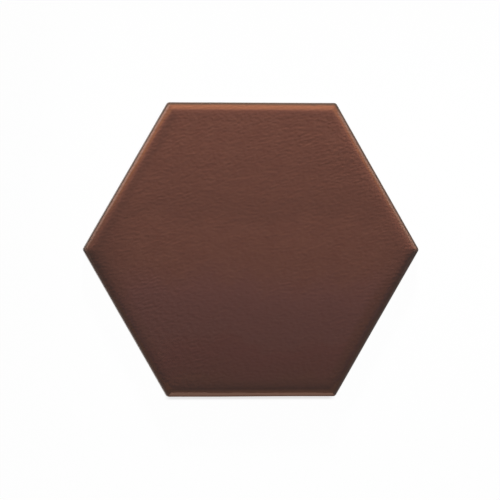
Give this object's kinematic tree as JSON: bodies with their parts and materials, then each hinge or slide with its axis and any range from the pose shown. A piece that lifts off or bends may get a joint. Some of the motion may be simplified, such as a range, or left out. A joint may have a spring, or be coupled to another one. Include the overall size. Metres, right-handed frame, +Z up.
{
  "type": "hexagon floor tile",
  "caption": "Hexagonal glazed clay floor tile with a softly rounded upper edge, a fine rippled satin face, a bevelled foot and a honeycomb of shallow keying pockets on its back.",
  "frame": {"origin": "on the tile's upright axis, at the level of its back, which lies on the floor", "axes": "+Z up out of the glazed face, +X towards one corner, +Y towards the middle of one side"},
  "size_m": [0.2014, 0.175, 0.009],
  "materials": {
    "glazed_clay": "satin"
  },
  "bodies": {
    "root": {"hexagon_tile": "glazed_clay"}
  },
  "joints": []
}
